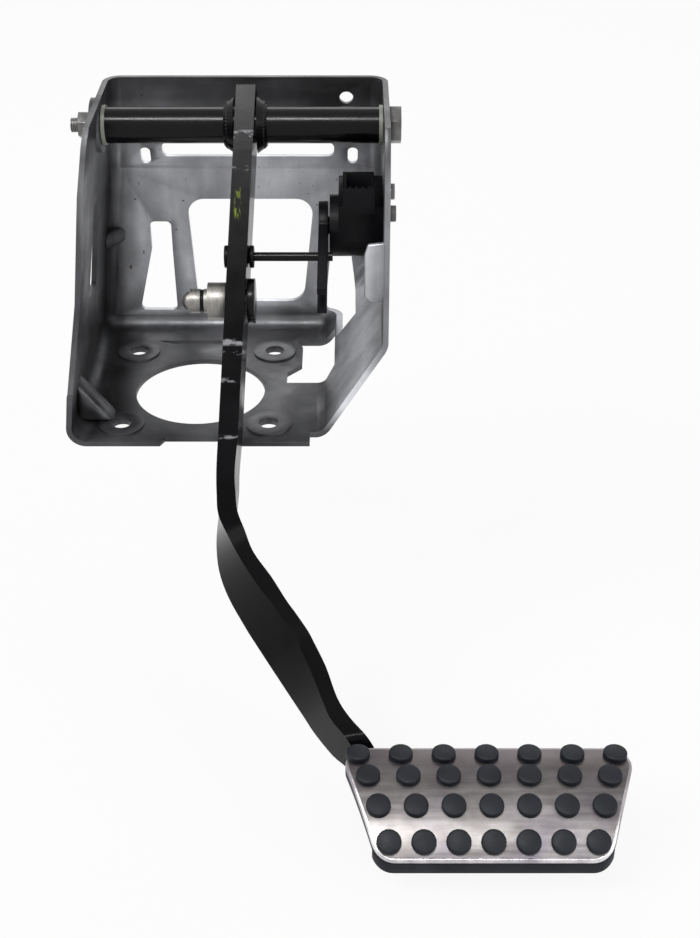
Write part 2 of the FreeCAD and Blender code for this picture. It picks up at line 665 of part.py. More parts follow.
def build_sensor():
    y, z = "sensor_y", "sensor_z"
    deep = "(wall_right - sensor_left)"
    drum = cylinder("sensor_drum", "sensor_radius", deep, "sensor_left", y, z)
    base = box("sensor_base", deep, "sensor_radius * 2.6", "sensor_radius * 1.2",
               "sensor_left", f"{y} - sensor_radius * 1.3", z)
    bind(base, "Placement.Base.x", "sensor_left + 4")
    bind(base, "Length", f"{deep} - 4")
    shroud = box("shroud", "connector_width", "connector_depth", "connector_height",
                 "sensor_left + 6", f"{y} - connector_depth", f"{z} + sensor_radius")
    mouth = box("shroud_mouth", "connector_width - 2 * connector_wall", "connector_depth - 2 * connector_wall",
                "connector_height - connector_wall", "sensor_left + 6 + connector_wall",
                f"{y} - connector_depth + connector_wall", f"{z} + sensor_radius + connector_wall")
    bind(mouth, "Height", "connector_height")
    pivot = cylinder("lever_bearing", "lever_pin_radius + running_gap", "lever_pin", "sensor_left", y, z)
    housing = cut("sensor_housing", fuse("sensor_blank", [drum, base, shroud]), fuse("sensor_hollow", [mouth, pivot]))
    pins = []
    for index in range(TERMINALS):
        blade = box(f"terminal_{index}", "0.8", "0.8", "connector_height * 0.6",
                    f"sensor_left + 6 + connector_width * {(index + 1) / (TERMINALS + 1)}",
                    f"{y} - connector_depth / 2", f"{z} + sensor_radius + connector_wall")
        pins.append(blade)
    terminals = doc.addObject("Part::Compound", "sensor_terminals")
    terminals.Links = pins
    screws = []
    for index, (dy, dz) in enumerate((("-sensor_radius * 0.9", "sensor_radius * 0.8"),
                                      ("sensor_radius * 0.9", "sensor_radius * 0.8"))):
        head = hexagon(f"screw_head_{index}", "7", "3.2", "wall_right + sheet", f"{y} + {dy}", f"{z} + {dz}")
        screws.append(head)
    sensor_screws = doc.addObject("Part::Compound", "sensor_screws")
    sensor_screws.Links = screws
    rod = along_arm(size("rod_along"), 0.0)
    aim = math.degrees(math.atan2(rod.z - size(z), rod.y - size(y)))
    body = new_body("lever_blank")
    blade = new_sketch(body, "lever_blade", "YZ_Plane", Placement())
    bind(blade, "AttachmentOffset.Base.z", "lever_x")
    polygon(blade, [("0", "-lever_width / 2"), ("lever_length", "-lever_width / 2"),
                    ("lever_length", "lever_width / 2"), ("0", "lever_width / 2")])
    pad(body, blade, "lever_thick")
    hub = new_sketch(body, "lever_hub", "YZ_Plane", Placement())
    bind(hub, "AttachmentOffset.Base.z", "lever_x")
    circle(hub, "0", "0", "lever_hub_radius")
    pad(body, hub, "lever_thick")
    doc.recompute()
    slot = new_sketch(body, "lever_fork", "YZ_Plane", Placement())
    bind(slot, "AttachmentOffset.Base.z", "lever_x + 2 * lever_thick")
    polygon(slot, [("lever_hub_radius", "-lever_slot / 2"), ("2 * lever_length", "-lever_slot / 2"),
                   ("2 * lever_length", "lever_slot / 2"), ("lever_hub_radius", "lever_slot / 2")])
    pocket_blind(body, slot, "4 * lever_thick")
    shaft = new_sketch(body, "lever_shaft", "YZ_Plane", Placement())
    bind(shaft, "AttachmentOffset.Base.z", "lever_x + lever_thick / 2")
    circle(shaft, "0", "0", "lever_pin_radius")
    pad(body, shaft, "sensor_left - lever_x - lever_thick / 2 + lever_pin - side_gap")
    doc.recompute()
    place(body, "0", y, z, Rotation(Vector(1, 0, 0), aim))
    return [housing, terminals, sensor_screws, body]


STUD_ROWS = 4
STUD_COLUMNS = 7
STUD_SPREAD = 1.12
TERMINALS = 4
ARM_STEPS = 6

bracket = build_bracket()
pieces = [bracket, *build_pivot()]
pieces.append(build_arm())
pieces += build_pins() + build_pad() + build_sensor()
pieces[-1].Label = "sensor_lever"
doc.recompute()

for thing in doc.Objects:
    if "Invalid" in thing.State or "Error" in thing.State:
        raise RuntimeError(f"{thing.Name} failed: {thing.State}")
os.makedirs("parts", exist_ok=True)
for piece in pieces:
    shape = piece.Shape
    if shape.isNull() or not shape.isValid():
        raise RuntimeError(f"{piece.Label} has no valid shape")
    shape.exportStep(f"parts/{piece.Label}.step")
    print(piece.Label, len(shape.Solids), round(shape.Volume))
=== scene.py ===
# %% [markdown]
# A brake pedal in its pressed bracket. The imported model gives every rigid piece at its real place.
# This lesson dresses those pieces: edges get their small rounding, and each finish is built from nodes.

# %% The frame
import json
import math

import bmesh
import bpy
from mathutils import Matrix, Vector


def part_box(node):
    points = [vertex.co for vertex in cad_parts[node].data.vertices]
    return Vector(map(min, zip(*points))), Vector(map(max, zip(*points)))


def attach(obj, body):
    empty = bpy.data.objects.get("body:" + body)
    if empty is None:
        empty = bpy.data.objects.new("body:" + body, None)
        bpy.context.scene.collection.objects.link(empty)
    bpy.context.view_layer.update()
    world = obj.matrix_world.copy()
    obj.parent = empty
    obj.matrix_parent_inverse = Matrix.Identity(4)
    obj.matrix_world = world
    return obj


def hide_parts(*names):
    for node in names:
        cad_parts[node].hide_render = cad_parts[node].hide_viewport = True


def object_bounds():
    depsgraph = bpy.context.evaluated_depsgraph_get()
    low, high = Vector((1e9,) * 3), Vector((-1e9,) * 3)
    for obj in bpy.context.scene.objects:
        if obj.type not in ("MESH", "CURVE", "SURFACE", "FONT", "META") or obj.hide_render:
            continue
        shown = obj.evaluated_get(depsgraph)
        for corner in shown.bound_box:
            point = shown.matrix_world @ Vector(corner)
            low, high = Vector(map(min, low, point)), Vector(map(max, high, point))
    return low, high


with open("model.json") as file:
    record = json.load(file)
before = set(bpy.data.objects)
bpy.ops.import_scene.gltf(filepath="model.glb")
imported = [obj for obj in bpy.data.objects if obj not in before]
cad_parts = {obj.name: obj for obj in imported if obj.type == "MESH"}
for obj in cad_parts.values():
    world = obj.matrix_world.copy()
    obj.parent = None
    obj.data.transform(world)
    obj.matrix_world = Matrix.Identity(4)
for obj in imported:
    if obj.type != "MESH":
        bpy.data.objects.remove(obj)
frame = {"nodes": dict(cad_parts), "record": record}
cad_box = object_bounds()
nodes = frame["nodes"]
MM = 0.001
IMAGE_WIDTH, IMAGE_HEIGHT = 700, 938
print("frame", len(nodes), "nodes")

# %% [markdown]
# The photograph looks down on the floor of the bracket, so its round opening is an ellipse about half as
# high as wide. That gives the tilt of the camera, and the lean of the left wall gives its distance.

# %% Camera
VIEW_DOWN = math.radians(33.0)
FOCAL_PIXELS = 1526.0
SENSOR = 36.0
CAMERA_AT = Vector((71.7, -639.3, 370.4)) * MM

lens = bpy.data.cameras.new("studio_camera")
lens.sensor_width = SENSOR
lens.lens = SENSOR * FOCAL_PIXELS / IMAGE_HEIGHT
lens.clip_start = 0.01
camera = bpy.data.objects.new("studio_camera", lens)
camera.location = CAMERA_AT
camera.rotation_euler = (math.pi / 2 - VIEW_DOWN, 0.0, 0.0)
bpy.context.scene.collection.objects.link(camera)
bpy.context.scene.camera = camera
print("lens", round(lens.lens, 1), "mm")

# %% [markdown]
# A finish is a small node tree on the Principled shader. One helper makes the tree and places its nodes'
# links, so each finish below reads as a short list: a pattern, the colours it picks, its gloss and its bump.

# %% Finish helper
class Finish:
    """One procedural material that reads Object coordinates in metres."""

    def __init__(self, name, metallic=0.0, rough=0.5):
        self.material = bpy.data.materials.new(name)
        self.material.use_nodes = True
        self.tree = self.material.node_tree
        self.shader = self.tree.nodes["Principled BSDF"]
        self.shader.inputs["Metallic"].default_value = metallic
        self.shader.inputs["Roughness"].default_value = rough
        self.place = self.tree.nodes.new("ShaderNodeTexCoord").outputs["Object"]

    def link(self, start, end):
        self.tree.links.new(start, end)

    def noise(self, scale, stretch=(1, 1, 1), detail=6.0, rough=0.6):
        mapping = self.tree.nodes.new("ShaderNodeMapping")
        mapping.inputs["Scale"].default_value = stretch
        self.link(self.place, mapping.inputs["Vector"])
        texture = self.tree.nodes.new("ShaderNodeTexNoise")
        texture.inputs["Scale"].default_value = scale
        texture.inputs["Detail"].default_value = detail
        texture.inputs["Roughness"].default_value = rough
        self.link(mapping.outputs["Vector"], texture.inputs["Vector"])
        return texture.outputs["Fac"]

    def ramp(self, value, stops):
        node = self.tree.nodes.new("ShaderNodeValToRGB")
        ramp = node.color_ramp
        while len(ramp.elements) < len(stops):
            ramp.elements.new(0.5)
        for element, (position, colour) in zip(ramp.elements, stops):
            element.position = position
            shade = colour if isinstance(colour, tuple) else (colour, colour, colour)
            element.color = (*shade, 1.0)
        self.link(value, node.inputs["Fac"])
        return node.outputs["Color"]

    def mix(self, kind, share, first, second):
        node = self.tree.nodes.new("ShaderNodeMix")
        node.data_type = "RGBA"
        node.blend_type = kind
        for socket, value in (("Factor", share), ("A", first), ("B", second)):
            target = next(s for s in node.inputs if s.name == socket and s.enabled)
            if isinstance(value, bpy.types.NodeSocket):
                self.link(value, target)
            elif isinstance(value, tuple):
                target.default_value = (*value, 1.0)
            else:
                target.default_value = value
        return next(s for s in node.outputs if s.enabled)

    def fade(self, axis, start, end):
        """A mask from 0 to 1 as the coordinate goes from start to end, in millimetres."""
        split = self.tree.nodes.new("ShaderNodeSeparateXYZ")
        self.link(self.place, split.inputs[0])
        node = self.tree.nodes.new("ShaderNodeMapRange")
        node.inputs["From Min"].default_value = start * MM
        node.inputs["From Max"].default_value = end * MM
        self.link(split.outputs[axis], node.inputs["Value"])
        return node.outputs["Result"]

    def along(self, direction, start, end):
        """A mask from 0 to 1 along any direction, between two distances from the origin in millimetres."""
        dot = self.tree.nodes.new("ShaderNodeVectorMath")
        dot.operation = "DOT_PRODUCT"
        dot.inputs[1].default_value = direction
        self.link(self.place, dot.inputs[0])
        node = self.tree.nodes.new("ShaderNodeMapRange")
        node.inputs["From Min"].default_value = start * MM
        node.inputs["From Max"].default_value = end * MM
        self.link(dot.outputs["Value"], node.inputs["Value"])
        return node.outputs["Result"]

    def math(self, kind, first, second):
        node = self.tree.nodes.new("ShaderNodeMath")
        node.operation = kind
        for socket, value in zip(node.inputs, (first, second)):
            if isinstance(value, bpy.types.NodeSocket):
                self.link(value, socket)
            else:
                socket.default_value = value
        return node.outputs[0]

    def band(self, axis, start, end, soft):
        """A mask that is 1 between two coordinates, in millimetres, with soft ends."""
        rise = self.fade(axis, start - soft, start + soft)
        fall = self.fade(axis, end + soft, end - soft)
        return self.math("MULTIPLY", rise, fall)

    def colour(self, value):
        self.link(value, self.shader.inputs["Base Color"])

    def gloss(self, value, low, high):
        self.link(self.ramp(value, [(0.3, low), (0.7, high)]), self.shader.inputs["Roughness"])

    def bump(self, value, height, strength=1.0):
        node = self.tree.nodes.new("ShaderNodeBump")
        node.inputs["Strength"].default_value = strength
        node.inputs["Distance"].default_value = height
        self.link(value, node.inputs["Height"])
        self.link(node.outputs["Normal"], self.shader.inputs["Normal"])


# %% [markdown]
# Pressed steel comes from the rolling mill grey, with faint lines along the web, and picks up small rust
# specks. Noises of different scale give the tone, the rolling lines, a mottled dark tone and the specks, and
# masks along the axes lay the dark tone on the floor, the hood and the side walls as painted shade.

# %% Pressed steel
STEEL_DARK, STEEL_LIGHT = (0.30, 0.304, 0.325), (0.80, 0.81, 0.85)
SHADE_DARK, SHADE_LIGHT = (0.010, 0.010, 0.011), (0.055, 0.055, 0.058)
RUST_SPECK = (0.06, 0.045, 0.038)
# Ranges in millimetres where the masks lay painted shade on the floor, the hood and the side walls.
FLOOR_SHADE = (14.0, 3.0)
HOOD_SHADE = (92.0, 128.0)
LEFT_WALL_SHADE = (-32.0, -46.0)
RIGHT_WALL_SHADE = (78.0, 87.0)
RIGHT_WALL_SHADE_SHARE = 0.7
SHADE_SHARE = 0.9


def pressed_steel():
    finish = Finish("pressed_steel", metallic=0.75)
    clouds = finish.ramp(finish.noise(20.0), [(0.28, STEEL_DARK), (0.68, STEEL_LIGHT)])
    streaks = finish.ramp(finish.noise(50.0, (1, 1, 0.12)), [(0.35, 0.55), (0.65, 1.0)])
    toned = finish.mix("MULTIPLY", 0.8, clouds, streaks)
    # A mottled dark tone, laid on the floor, the hood and the side walls by the masks below, is painted shade.
    painted_shade = finish.ramp(finish.noise(34.0, detail=9.0), [(0.36, SHADE_DARK), (0.66, SHADE_LIGHT)])
    low = finish.fade(2, *FLOOR_SHADE)
    high = finish.fade(2, *HOOD_SHADE)
    right = finish.math("MULTIPLY", finish.fade(0, *RIGHT_WALL_SHADE), RIGHT_WALL_SHADE_SHARE)
    sides = finish.math("MAXIMUM", finish.fade(0, *LEFT_WALL_SHADE), right)
    shade_mask = finish.math("MAXIMUM", finish.math("MAXIMUM", low, high), sides)
    toned = finish.mix("MIX", finish.math("MULTIPLY", shade_mask, SHADE_SHARE), toned, painted_shade)
    specks = finish.ramp(finish.noise(420.0, detail=2.0), [(0.70, 0.0), (0.76, 1.0)])
    finish.colour(finish.mix("MIX", specks, toned, RUST_SPECK))
    finish.gloss(finish.noise(60.0), 0.30, 0.55)
    finish.bump(finish.noise(500.0, (1, 1, 0.3)), 0.0001, 0.4)
    return finish.material


# %% [markdown]
# The arm, tube and rod are dipped in black paint. It is glossy, slightly wavy like orange skin, and worn to
# grey in a few places. Light grey bands across the arm's front edge are painted highlights, where its facets
# catch the light. A dab of yellow-green marking paint sits on the front edge below the pivot.

# %% Black paint
DAB = (20.9, 23.4, 98.0, 109.0)
DAB_COLOUR = (0.20, 0.26, 0.02)
PAINT_DARK, PAINT_LIGHT = (0.0015, 0.0015, 0.002), (0.005, 0.005, 0.006)
WORN_COLOUR, HIGHLIGHT_COLOUR = (0.06, 0.06, 0.065), (0.30, 0.30, 0.32)
FRONT_EDGE = (0.0, -0.794, 0.607)
FRONT_FROM, FRONT_TO = 70.6, 71.8
# Heights of the grey bands across the arm's front edge, which are painted highlights, in millimetres.
FRONT_HIGHLIGHT_BANDS = ((126.2, 129.0), (114.2, 116.2), (53.0, 55.2), (49.8, 50.8), (40.2, 41.4), (20.5, 21.4))


def black_paint(name, shine, dab_and_highlights=False):
    finish = Finish(name)
    finish.shader.inputs["Specular IOR Level"].default_value = shine
    tone = finish.ramp(finish.noise(35.0), [(0.3, PAINT_DARK), (0.7, PAINT_LIGHT)])
    worn = finish.ramp(finish.noise(90.0, detail=10.0), [(0.70, 0.0), (0.78, 1.0)])
    tone = finish.mix("MIX", finish.math("MULTIPLY", worn, 0.5), tone, WORN_COLOUR)
    if dab_and_highlights:
        # Grey bands across the front edge, broken by noise, are painted highlights where its facets catch the
        # light.
        highlit = 0.0
        for low, high in FRONT_HIGHLIGHT_BANDS:
            highlit = finish.math("MAXIMUM", highlit, finish.band(2, low, high, 0.4))
        front = finish.along(FRONT_EDGE, FRONT_FROM, FRONT_TO)
        highlit = finish.math("MULTIPLY", highlit, front)
        ragged = finish.ramp(finish.noise(260.0, (0.5, 1, 1)), [(0.50, 0.0), (0.57, 1.0)])
        tone = finish.mix("MIX", finish.math("MULTIPLY", highlit, ragged), tone, HIGHLIGHT_COLOUR)
        left, right, low, high = DAB
        inside = finish.math("MULTIPLY", finish.band(0, left, right, 0.5), finish.band(2, low, high, 1.0))
        inside = finish.math("MULTIPLY", inside, front)
        broken = finish.ramp(finish.noise(420.0, (1, 0.4, 0.4)), [(0.55, 0.0), (0.62, 1.0)])
        tone = finish.mix("MIX", finish.math("MULTIPLY", inside, broken), tone, DAB_COLOUR)
    finish.colour(tone)
    finish.gloss(finish.noise(60.0), 0.17, 0.27)
    finish.bump(finish.noise(350.0, detail=2.0), 0.00006, 0.25)
    return finish.material


# %% [markdown]
# Moulded plastic is dull with a fine spark texture, rubber is a bluish black with a dusty bloom, and nylon
# is pale and slightly green. They share one recipe with other colours and grain.

# %% Plastic, rubber and nylon
def moulded(name, dark, light, rough, grain, shine=0.5):
    finish = Finish(name)
    finish.shader.inputs["Specular IOR Level"].default_value = shine
    finish.colour(finish.ramp(finish.noise(70.0), [(0.3, dark), (0.72, light)]))
    finish.gloss(finish.noise(200.0), rough - 0.08, rough + 0.08)
    finish.bump(finish.noise(grain, detail=2.0), 0.0001, 0.4)
    return finish.material


# %% [markdown]
# The pad's trim is thin stainless sheet, brushed across and worn by shoes: the long scratches run along X,
# and brown and violet stains cloud the middle. Its upper part is darkened towards the stain colour, painted
# shade for the darker reflections there. Turned and plated steel take the same recipe with less of it.

# %% Bright metals
VIOLET = (0.17, 0.145, 0.22)
# Where, in millimetres of Y, the painted shade for darker reflections on the pad's upper part begins and ends.
TOP_SHADE = (-212.0, -180.0)
TOP_SHADE_SHARE = 0.8


def bright_steel(name, dark, light, stain_and_shade, brush, rough, violet_and_top_shade=False):
    finish = Finish(name, metallic=1.0)
    hair = finish.noise(300.0, brush, detail=4.0)
    tone = finish.ramp(hair, [(0.3, dark), (0.7, light)])
    clouds = finish.ramp(finish.noise(28.0, detail=8.0), [(0.42, 0.0), (0.72, 1.0)])
    tone = finish.mix("MIX", clouds, tone, stain_and_shade)
    if violet_and_top_shade:
        violet = finish.ramp(finish.noise(45.0, detail=3.0), [(0.46, 0.0), (0.74, 0.4)])
        tone = finish.mix("MIX", violet, tone, VIOLET)
        # The upper part is darkened towards the stain colour: painted shade for darker reflections.
        darker_top = finish.math("MULTIPLY", finish.fade(1, *TOP_SHADE), TOP_SHADE_SHARE)
        tone = finish.mix("MIX", darker_top, tone, stain_and_shade)
    finish.colour(tone)
    finish.gloss(hair, rough - 0.07, rough + 0.1)
    finish.bump(hair, 0.00008, 0.4)
    return finish.material


FINISHES = {
    "pressed_steel": pressed_steel(),
    "black_paint": black_paint("black_paint", 0.16),
    "arm_paint": black_paint("arm_paint", 0.06, dab_and_highlights=True),
    "black_plastic": moulded(
        "black_plastic", (0.002, 0.002, 0.003), (0.006, 0.006, 0.008), rough=0.36, grain=1500.0, shine=0.12),
    "pad_rubber": moulded(
        "pad_rubber", (0.005, 0.006, 0.009), (0.013, 0.015, 0.022), rough=0.52, grain=1100.0, shine=0.22),
    "nylon": moulded(
        "nylon", (0.22, 0.24, 0.19), (0.36, 0.38, 0.31), rough=0.45, grain=900.0),
    "stainless": bright_steel(
        "stainless", (0.19, 0.18, 0.172), (0.36, 0.345, 0.34), stain_and_shade=(0.075, 0.064, 0.066),
        brush=(0.08, 1, 1), rough=0.34, violet_and_top_shade=True),
    # The rim's steel is the stainless made far lighter, a painted highlight, with the painted shade at its top.
    "rim_highlight_steel": bright_steel(
        "rim_highlight_steel", (0.78, 0.76, 0.77), (0.95, 0.93, 0.95), stain_and_shade=(0.22, 0.19, 0.21),
        brush=(1, 1, 1), rough=0.26, violet_and_top_shade=True),
    "turned_steel": bright_steel(
        "turned_steel", (0.20, 0.19, 0.18), (0.32, 0.31, 0.29), stain_and_shade=(0.13, 0.12, 0.11),
        brush=(6, 1, 1), rough=0.40),
    "zinc_steel": bright_steel(
        "zinc_steel", (0.13, 0.13, 0.13), (0.24, 0.24, 0.235), stain_and_shade=(0.09, 0.085, 0.08),
        brush=(1, 1, 1), rough=0.34),
}
print("finishes", sorted(FINISHES))

# %% [markdown]
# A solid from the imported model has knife-sharp corners, and real edges catch the light. A copy of the node
# is merged into one skin and bevelled by a fraction of a millimetre, and it stands for the node. The pushrod
# pin and its ring are drawn in towards the arm, and small plain pieces only take a finish.

# %% Edge rounding
ROUNDED = {
    "bracket": ("pressed_steel", 0.45),
    "pad_plate": ("black_paint", 0.4),
    "sensor_housing": ("black_plastic", 0.5),
    "sensor_lever": ("black_plastic", 0.4),
    "clevis_pin": ("turned_steel", 0.5),
    "pin_ring": ("black_plastic", 0.1),
    "pivot_bolt": ("zinc_steel", 0.4),
    "pivot_nut": ("zinc_steel", 0.3),
    "sensor_screws": ("zinc_steel", 0.3),
    "rod_grommet": ("black_plastic", 0.4),
}
PLAIN = {
    "inner_sleeve": "zinc_steel", "sensor_terminals": "zinc_steel", "pivot_tube": "black_paint",
    "bush_left": "nylon", "bush_right": "nylon", "weld_beads": "black_paint",
    "link_rod": "black_paint",
}
MERGE_WITHIN = 0.00001
PIN_HEAD_X = 0.0259
PIN_FACE_X = 0.017
PIN_SHORTER = 0.84
SHARP_ANGLE = math.radians(32.0)


def body_of_node(name):
    return next(body for body, members in frame["record"]["behaviour"]["bodies"].items() if name in members)


def link_piece(name, mesh):
    piece = bpy.data.objects.new(name, mesh)
    bpy.context.scene.collection.objects.link(piece)
    return piece


def baked(piece):
    """Turn a piece's modifiers into plain mesh."""
    view = bpy.context.evaluated_depsgraph_get()
    mesh = bpy.data.meshes.new_from_object(piece.evaluated_get(view))
    piece.modifiers.clear()
    piece.data = mesh
    return piece


def rounded(node, finish, width):
    piece = link_piece(node + "_dressed", nodes[node].data.copy())
    weld = piece.modifiers.new("merge", "WELD")
    weld.merge_threshold = MERGE_WITHIN
    bevel = piece.modifiers.new("edge", "BEVEL")
    bevel.width = width * MM
    bevel.segments = 2
    bevel.limit_method = "ANGLE"
    bevel.angle_limit = SHARP_ANGLE
    bevel.use_clamp_overlap = True
    baked(piece)
    if node in ("clevis_pin", "pin_ring"):
        for vertex in piece.data.vertices:
            vertex.co.x = max(vertex.co.x, PIN_FACE_X + PIN_SHORTER * (vertex.co.x - PIN_FACE_X))
    piece.data.materials.clear()
    piece.data.materials.append(FINISHES[finish])
    if node == "clevis_pin":
        piece.data.materials.append(FINISHES["black_paint"])
        for face in piece.data.polygons:
            face.material_index = int(face.center.x > PIN_HEAD_X)
    piece.data.shade_smooth()
    piece.data.set_sharp_from_angle(angle=SHARP_ANGLE)
    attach(piece, body_of_node(node))
    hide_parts(node)
    return piece


for node, (finish, width) in ROUNDED.items():
    made = rounded(node, finish, width)
    print(node, len(made.data.polygons), "faces")
for node, finish in PLAIN.items():
    for slot in nodes[node].material_slots:
        slot.material = FINISHES[finish]

# %% [markdown]
# The pad is curved like a piece of a drum, so its pieces are placed by two measures: how far across the
# pedal, and how far up the pad's face. One helper turns these into a point, and others make closed blocks.

# %% Places on the pad
PAD_AXIS = Vector((0.0, -177.0, -139.0)) * MM
PAD_RADIUS = 66.0 * MM
PAD_MIDDLE = math.radians(74.0)
PAD_OUT = Vector((0.0, -math.cos(PAD_MIDDLE), math.sin(PAD_MIDDLE)))
PAD_UP = Vector((0.0, math.sin(PAD_MIDDLE), math.cos(PAD_MIDDLE)))


def pad_spot(x, across, lift=0.0):
    """A point over the curved pad: across is measured up its face, lift off its steel surface."""
    reach = PAD_RADIUS + lift
    return PAD_AXIS + Vector((x, 0.0, 0.0)) + PAD_UP * across + PAD_OUT * math.sqrt(reach ** 2 - across ** 2)


def slab(name, corners, push):
    """A closed block between an outline and the same outline pushed along a vector."""
    count = len(corners)
    points = [Vector(corner) for corner in corners] + [Vector(corner) + push for corner in corners]
    faces = [tuple(range(count)), tuple(range(2 * count - 1, count - 1, -1))]
    for index in range(count):
        after = (index + 1) % count
        faces.append((after, index, index + count, after + count))
    mesh = bpy.data.meshes.new(name)
    mesh.from_pydata(points, [], faces)
    outward(mesh)
    return mesh


def outward(mesh):
    shape = bmesh.new()
    shape.from_mesh(mesh)
    bmesh.ops.recalc_face_normals(shape, faces=shape.faces)
    shape.to_mesh(mesh)
    shape.free()


# %% [markdown]
# The arm is a flat bar, set on edge, that is straight from its top to an elbow and then bends sideways and
# turns until its left flank shows. A bar that bends and turns is a loft. Below the elbow, the pixels where
# its front left, front right and rear left edges show are read off the photograph. A curve gives their
# depth, and the bar's thickness and depth give the turn. The sections are eased into each other by a spline
# and skinned, and the edges are rounded as a press leaves them.

# %% Pedal arm
ARM_SLOPE = math.radians(52.6)
ARM_THICK = 8.6
ARM_DEEP = 28.0
ARM_FRONT = 12.0
ARM_LEAN = 0.045
ARM_PIVOT = (25.0, 20.0, 126.6)
ARM_UPPER = (-14.5, -10.0, 30.0, 70.0, 110.0, 140.0)
ARM_TAPER = 6.0
ARM_BEND = 152.0
ARM_PULL = 51.0
ARM_HEEL = Vector((77.3, -131.8, -69.4))
ARM_TOE = Vector((78.0, -186.0, -80.0))
ARM_LINE_STEPS = 100
ARM_SEEN = [
    ((216.3, 470.0), (234.7, 470.0), (216.3, 470.0)),
    ((216.6, 495.0), (235.5, 493.0), (216.3, 497.0)),
    ((218.4, 515.0), (237.5, 511.0), (216.3, 517.0)),
    ((228.6, 537.3), (244.5, 529.5), (216.4, 543.0)),
    ((240.8, 559.8), (253.5, 552.0), (219.0, 571.0)),
    ((257.0, 584.3), (271.5, 576.5), (228.5, 598.0)),
    ((274.5, 606.7), (286.0, 599.5), (245.0, 627.0)),
    ((281.6, 617.0), (297.0, 615.0), (251.0, 637.0)),
    ((296.0, 635.3), (308.2, 631.0), (266.0, 660.0)),
    ((300.0, 647.6), (314.5, 643.0), (272.0, 669.0)),
    ((310.2, 670.0), (326.0, 667.0), (285.0, 689.0)),
    ((322.4, 700.6), (337.5, 698.0), (303.0, 716.0)),
    ((330.6, 719.0), (350.0, 717.5), (315.0, 734.0)),
    ((347.0, 739.4), (368.0, 738.0), (333.0, 756.0)),
]
ARM_REAR_X = (13.9, 13.4, 12.4)
ARM_FOOT = [
    ((76.0, -167.6, -83.4), (85.5, -167.6, -83.4), (72.6, -160.7, -96.5)),
    ((84.0, -184.0, -83.2), (92.5, -184.0, -83.2), (81.0, -182.0, -97.0)),
]
ARM_EASE = 4
ARM_EDGE = 1.0 * MM
ARM_SHARP = math.radians(50.0)


EYE = CAMERA_AT / MM
SIGHT = Vector((0.0, math.cos(VIEW_DOWN), -math.sin(VIEW_DOWN)))
SKYWARD = Vector((0.0, math.sin(VIEW_DOWN), math.cos(VIEW_DOWN)))


def bar_spot(distance, front, side=0):
    """A point of the straight bar: this far down from the pivot, in front of its axis, and on which flank."""
    x = ARM_PIVOT[0] - ARM_LEAN * distance + side * ARM_THICK / 2
    y = ARM_PIVOT[1] - distance * math.cos(ARM_SLOPE) - front * math.sin(ARM_SLOPE)
    z = ARM_PIVOT[2] - distance * math.sin(ARM_SLOPE) + front * math.cos(ARM_SLOPE)
    return Vector((x, y, z))


def upper_section(distance):
    """Front left, front right and rear left corners of the straight bar, this far down from the pivot."""
    places = ((ARM_FRONT, -1), (ARM_FRONT, 1), (ARM_FRONT - ARM_DEEP, -1))
    return [bar_spot(distance, front, side) for front, side in places]


def front_line():
    """How deep the bent front edge lies before the camera, and in which image row, along its curve."""
    start = bar_spot(ARM_BEND, ARM_FRONT)
    ahead = start + (bar_spot(ARM_BEND + 1.0, ARM_FRONT) - start).normalized() * ARM_PULL
    line = []
    for step in range(ARM_LINE_STEPS + 1):
        on = step / ARM_LINE_STEPS
        off = 1.0 - on
        spot = start * off ** 3 + ahead * 3 * on * off ** 2 + ARM_HEEL * 3 * on ** 2 * off + ARM_TOE * on ** 3
        depth = (spot - EYE).dot(SIGHT)
        line.append((depth, IMAGE_HEIGHT / 2 - FOCAL_PIXELS * (spot - EYE).dot(SKYWARD) / depth))
    return line


def spot_behind(pixel, depth):
    """The point that shows at a pixel and lies this deep, to a tenth of a millimetre."""
    right = (pixel[0] - IMAGE_WIDTH / 2) / FOCAL_PIXELS * depth
    up = (IMAGE_HEIGHT / 2 - pixel[1]) / FOCAL_PIXELS * depth
    spot = EYE + Vector((right, 0.0, 0.0)) + SIGHT * depth + SKYWARD * up
    return Vector([round(value, 1) for value in spot])


def further(first, second, depth, length):
    """How much deeper the second pixel lies, if the two ends of an edge are this far apart."""
    shown = math.dist(first, second) * depth / FOCAL_PIXELS
    return math.sqrt(max(0.0, length ** 2 - shown ** 2))


def lower_sections():
    """The corners of the bent bar, from where its edges show and how thick and deep the bar is."""
    line = front_line()
    found = []
    for index, (left, right, rear) in enumerate(ARM_SEEN):
        level = index < len(ARM_REAR_X)
        depth = min(line, key=lambda place: abs(place[1] - left[1]))[0]
        deep = ARM_DEEP - ARM_TAPER * index / len(ARM_SEEN)
        turned = 0.0 if level else further(left, right, depth, ARM_THICK)
        rear_left = spot_behind(rear, depth + further(left, rear, depth, deep))
        if level:
            rear_left.x = ARM_REAR_X[index]
        found.append((spot_behind(left, depth), spot_behind(right, depth + turned), rear_left))
    return found


def eased(before, start, end, after, share):
    """A point on the smooth curve through four points, between the middle two."""
    return 0.5 * (2 * start + (end - before) * share
                  + (2 * before - 5 * start + 4 * end - after) * share ** 2
                  + (3 * start - before - 3 * end + after) * share ** 3)


